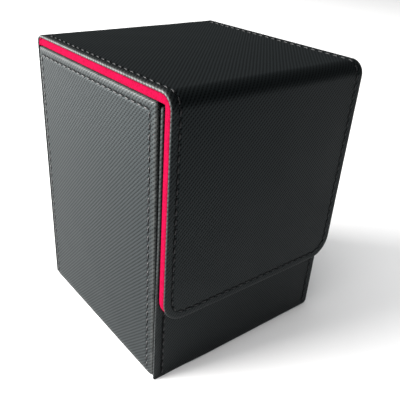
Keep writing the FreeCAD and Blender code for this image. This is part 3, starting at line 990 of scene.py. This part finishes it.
def roll(name, profile, half, seed):
    """A lining stuffed solid: one section across the box, rounded at both ends. profile is (y, z)."""
    profile = np.array(profile)
    middle = profile.mean(0)
    steps = np.linalg.norm(profile - np.roll(profile, 1, axis=0), axis=1)
    along = np.cumsum(steps)
    piece = Piece(lambda y, z, x: np.stack([x, y, z], 1), seed)
    ends = [(0.0, 0.75), (0.04, 0.88), (0.14, 0.97), (0.3, 1.0)]
    last = ends[-1][0]
    inner = [(x, 1.0) for x in np.linspace(-half + last, half - last, 60)[1:-1]]
    sections = [(-half + d, k) for d, k in ends] + inner + [(half - d, k) for d, k in ends[::-1]]
    rings = []
    for x, k in sections:
        cloth = np.column_stack([np.full(len(along), x), along])
        rings.append(piece.add(middle + (profile - middle) * k, x, cloth))
    for a, b in zip(rings, rings[1:]):
        piece.bridge(a, b, True)
    piece.faces.append(list(rings[0]))
    piece.faces.append(list(rings[-1]))
    return piece.make(name, "red_microfibre")


NOSE_GAP = 0.12         # between the rounded back end of the lid's lining and the strip behind the spine
NOSE_CORNER = 0.3
nose = SPINE_RADIUS - LEATHER - LINING - NOSE_GAP
nose_bottom = LID_RED_LOW[2]
nose_front = SPINE_Y - 0.1
nose_profile = [(nose_front, nose_bottom), (SPINE_Y + nose - NOSE_CORNER, nose_bottom),
                (SPINE_Y + nose - 0.09, nose_bottom + 0.09), (SPINE_Y + nose, nose_bottom + NOSE_CORNER)]
for step in range(9):
    angle = math.pi / 2 * step / 8
    nose_profile.append((SPINE_Y + nose * math.cos(angle), SPINE_Z + nose * math.sin(angle)))
nose_profile.append((nose_front, SPINE_Z + nose))
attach(roll("lid_red_nose", nose_profile, red_half, 2), "lid")

# ---- red strip behind the spine, that shows when the lid is open ----
S_RIM = S_BACK + SPINE_Z - LID_RED_LOW[2]
hinge_outer = [(d, -LEATHER) for d in (0.0, 0.3, 1.0, 3.0)]
hinge_inner = [(d, -LEATHER - depth) for d, depth in
               ((0.0, 0.3), (0.1, LINING - 0.08), (0.3, LINING), (3.0, LINING))]
for name, width, low, high, replaced in (
        ("hinge_red_lining", -HINGE_LOW[0], S_SPINE, S_RIM, ["hinge_lining"]),
        ("hinge_red_foot", -BACK_RED_LOW[0], S_RIM, S_BACK + SPINE_Z - HINGE_LOW[2], [])):
    hinge_red = Piece(on_strip, 4)
    strip(hinge_red, width, hinge_outer, hinge_inner, spaced(low, high, 0.25), smooth)
    hinge_red = hinge_red.make(name, "red_microfibre", replaced)
    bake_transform(hinge_red)

# ---- red lining of the body ----
INNER_X = FLOOR_RED_HIGH[0]
LINING_LEAN = 1.3       # how far the side linings' front edges lean back at the top


def glued_sheet(name, place, corners, seed, replaced):
    """A sheet of lining glued down flat. Its open face is at height 0."""
    piece = Piece(place, seed)
    outline = Outline(corners, [0.3] * 4, step=1.2)
    close_panel(piece, outline, GLUED, GLUED_BACK, relief_of(None, seed, LINING_WAVES))
    piece = piece.make(name, "red_microfibre", replaced)
    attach(piece, "root")


glued_sheet("floor_red_lining", on_plane((0, 0, FLOOR_RED_HIGH[2]), (1, 0, 0), (0, 1, 0)),
            rectangle(-INNER_X, INNER_X, FLOOR_RED_LOW[1], FLOOR_RED_HIGH[1]), 61, ["floor_lining"])
for name, sign, seed in (("left", -1, 62), ("right", 1, 63)):
    edges = rectangle(SIDE_RED_LOW[1], SIDE_RED_HIGH[1], SIDE_RED_LOW[2], SIDE_RED_HIGH[2])
    edges[0] = (SIDE_RED_LOW[1] + LINING_LEAN, SIDE_RED_HIGH[2])
    if sign > 0:
        edges = [(-a, b) for a, b in edges[::-1]]
    place = on_plane((sign * INNER_X, 0, 0), (0, -sign, 0), (0, 0, 1))
    glued_sheet(name + "_side_red_lining", place, edges, seed, [name + "_side_lining"])


def over_the_rim(face, top, low, sign):
    """A surface up a wall's inside face and over the top of its board, towards sign. Also returns how far
    along it the bend starts and ends."""
    first = top - LINING - low
    second = first + LINING * math.pi / 2

    def place(u, v, h):
        u, v, h = (np.asarray(k, float) for k in (u, v, h))
        turn = (v - first) / LINING
        zones = [v <= first, v <= second]
        bent = face + sign * (LINING - (LINING + h) * np.cos(turn))
        y = np.select(zones, [np.full(len(v), face) - sign * h, bent], face + sign * (LINING + v - second))
        z = np.select(zones, [low + v, top - LINING + (LINING + h) * np.sin(turn)], top + h)
        return np.stack([u, y, z], 1)

    return place, first, second


for name, face, low, high, sign, seed in (
        ("back", BACK_RED_LOW[1], BACK_RED_LOW, BACK_RED_HIGH, 1, 64),
        ("front", FRONT_RED_HIGH[1], FRONT_RED_LOW, FRONT_RED_HIGH, -1, 65)):
    place, first, second = over_the_rim(face, high[2], low[2], sign)
    end = second + high[1] - low[1] - LINING
    steps = [spaced(0, first, 1.6), spaced(first, second, 0.12)[1:], spaced(second, end, 0.5)[1:]]
    sheet = Piece(place, seed)
    strip(sheet, INNER_X, LAID, LAID_BACK, np.concatenate(steps), relief_of(None, seed, LINING_WAVES))
    sheet = sheet.make(name + "_red_lining", "red_microfibre", [name + "_lining"])
    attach(sheet, "root")


# ---- stitches ----
THREAD_ROUND, THREAD_ALONG = 12, 15     # points round a thread and rings along a stitch
THREAD_END = 0.42                       # from the hole's middle to the thread's end
THREAD_SUNK = 0.50                      # how deep the thread's ends lie
THREAD_RISE = 0.46
THREAD_SWAY = 0.06
PLY_DEPTH = 0.11
PLY_TURNS = 1.15


def stitches(name, seam, place, wanted, replaced):
    """A thread lying from needle hole to needle hole, two plies twisted together."""
    piece = Piece(place, 7)
    for k, (a, b) in enumerate(zip(seam.holes[:-1], seam.holes[1:])):
        if not wanted(a, b):
            continue
        length = np.linalg.norm(b - a)
        way = (b - a) / length
        across = np.array([-way[1], way[0]])
        rings = []
        for i in range(THREAD_ALONG):
            t = i / (THREAD_ALONG - 1)
            off = abs(2 * t - 1)        # 0 at the middle of the stitch, 1 at its ends
            rise = -THREAD_SUNK + THREAD_RISE * (1 - off**3.2)
            size = 0.55 + 0.45 * (1 - off**4)
            middle = a + way * (THREAD_END + (length - 2 * THREAD_END) * t)
            middle = middle + across * THREAD_SWAY * math.sin(math.pi * 2 * t)
            points, heights, cloth = [], [], []
            for j in range(THREAD_ROUND):
                angle = 2 * math.pi * j / THREAD_ROUND
                ply = 1 + PLY_DEPTH * math.cos(2 * (angle - 2 * math.pi * t * PLY_TURNS))
                reach = THREAD * size * ply
                points.append(middle + across * reach * math.cos(angle) * 1.06)
                heights.append(rise + reach * math.sin(angle) * 0.86)
                cloth.append((k * PITCH + t * length, angle * THREAD))
            # Painted shade at the thread's ends, where they sink into the holes.
            dark = off**6
            rings.append(piece.add(points, heights, cloth, 0.0, dark))
        for one, two in zip(rings, rings[1:]):
            piece.bridge(one, two, True)
        piece.faces.append(list(rings[0]))
        piece.faces.append(list(rings[-1]))
    return piece.make(name, "black_thread", replaced, sharp=80)


def in_flap(a, b):
    return max(a[1], b[1]) <= S_FOLD


def in_fold(a, b):
    return max(a[1], b[1]) > S_FOLD and min(a[1], b[1]) < S_LID


def in_lid(a, b):
    return min(a[1], b[1]) >= S_LID


def everywhere(a, b):
    return True


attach(stitches("flap_stitches", lid_seam, on_strip, in_flap, ["flap_stitching"]), "flap")
fold_stitches = stitches("fold_stitches", lid_seam, on_strip, in_fold, ["fold_stitching"])
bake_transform(fold_stitches)
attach(stitches("lid_stitches", lid_seam, on_strip, in_lid, ["lid_stitching"]), "lid")
for name, seam, place, replaced in (
        ("left_side_stitches", left_seam, left_place, "left_side_stitching"),
        ("right_side_stitches", right_seam, right_place, "right_side_stitching"),
        ("front_stitches", front_seam, front_place, "front_panel_stitching")):
    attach(stitches(name, seam, place, everywhere, [replaced]), "root")

# ---- CAD nodes that stay in sight or inside ----
for row in frame["record"]["subparts"]:
    node = frame["nodes"][row["node"]]
    node.data.materials.clear()
    node.data.materials.append(FINISHES[row["material_slot"]])


# ---- floor, lights and camera ----
def floor_finish():
    n = Nodes("floor_paper")
    place = n.place()
    patches = n.noise(place, 3.0, 3.0)
    colour = n.mix(patches, (0.80, 0.80, 0.80, 1), (0.83, 0.83, 0.83, 1))
    n.set(Base_Color=colour, Roughness=0.85, Normal=n.bump(n.noise(place, 900, 2.0), 0.02))
    n.set(Specular_IOR_Level=0.2)
    return n.material


FLOOR = 6.0             # half its side, in metres, like the lights' places and sizes
floor_mesh = bpy.data.meshes.new("floor")
floor_corners = [(-FLOOR, -FLOOR, 0), (FLOOR, -FLOOR, 0), (FLOOR, FLOOR, 0), (-FLOOR, FLOOR, 0)]
floor_mesh.from_pydata(floor_corners, [], [(0, 1, 2, 3)])
floor = bpy.data.objects.new("floor", floor_mesh)
floor_mesh.materials.append(floor_finish())
bpy.context.scene.collection.objects.link(floor)

floor_only = bpy.data.collections.new("floor_only")
floor_only.objects.link(floor)
all_but_floor = bpy.data.collections.new("all_but_floor")
all_but_floor.objects.link(floor)
all_but_floor.collection_objects[0].light_linking.link_state = "EXCLUDE"


def soft_light(name, place, aim, size, power, colour, lit=None):
    """An area light. lit is the collection that it lights, and the rest gets only the bounce."""
    light = bpy.data.lights.new(name, "AREA")
    light.shape = "RECTANGLE"
    light.size, light.size_y = size
    light.energy = power
    light.color = colour
    lamp = bpy.data.objects.new(name, light)
    lamp.location = place
    lamp.rotation_euler = (Vector(aim) - Vector(place)).to_track_quat("-Z", "Y").to_euler()
    bpy.context.scene.collection.objects.link(lamp)
    if lit:
        lamp.light_linking.receiver_collection = lit


# name, place, aim, size, watts, colour and what it lights, if not everything
KEY_PLACE, KEY_AIM, KEY_SIZE = (-1.78, 0.98, 0.50), (0, 0, 0.04), (1.45, 1.0)
LIGHTS = [
    ("key", KEY_PLACE, KEY_AIM, KEY_SIZE, 385, (1, 0.97, 0.945), all_but_floor),
    ("floor_key", KEY_PLACE, KEY_AIM, KEY_SIZE, 240, (1, 0.985, 0.975), floor_only),
    ("overhead", (0, 0, 1.6), (0, 0, 0), (1.6, 1.6), 8, (1, 1, 1)),
    ("floor_fill", (-0.7, 0, 1.4), (0, 0, 0), (1.8, 1.8), 27, (1, 0.99, 0.99), floor_only),
]
for row in LIGHTS:
    soft_light(*row)

WORLD = 0.175
world = bpy.data.worlds.new("studio")
world.use_nodes = True
background = world.node_tree.nodes["Background"].inputs
background["Color"].default_value = (0.93, 0.98, 1.0, 1)
background["Strength"].default_value = WORLD
bpy.context.scene.world = world
bpy.context.scene.view_settings.view_transform = "Standard"

# The camera fitted to the photograph: its angles, what it looks at, its distance and its focal length.
AZIMUTH, ELEVATION, CAMERA_ROLL = (math.radians(a) for a in (-38.415, 29.603, -3.085))
TARGET = Vector((-3.294, -2.134, 39.592))
DISTANCE = 210.604
SENSOR = 36.0
FOCAL_PIXELS, PHOTO_WIDTH = 529.465, 400
away = Vector((math.sin(AZIMUTH) * math.cos(ELEVATION), -math.cos(AZIMUTH) * math.cos(ELEVATION),
               math.sin(ELEVATION)))
right = (-away).cross(Vector((0, 0, 1))).normalized()
down = (-away).cross(right)
camera_x = math.cos(CAMERA_ROLL) * right + math.sin(CAMERA_ROLL) * down
camera_y = math.sin(CAMERA_ROLL) * right - math.cos(CAMERA_ROLL) * down
lens = bpy.data.cameras.new("camera")
lens.sensor_width = SENSOR
lens.lens = FOCAL_PIXELS * SENSOR / PHOTO_WIDTH
lens.shift_x, lens.shift_y = 0.044, 0.03725
lens.clip_start, lens.clip_end = 0.01, 50
camera = bpy.data.objects.new("camera", lens)
facing = Matrix((camera_x, camera_y, away)).transposed().to_4x4()
camera.matrix_world = Matrix.Translation(TARGET * MM + away * DISTANCE * MM) @ facing
bpy.context.scene.collection.objects.link(camera)
bpy.context.scene.camera = camera
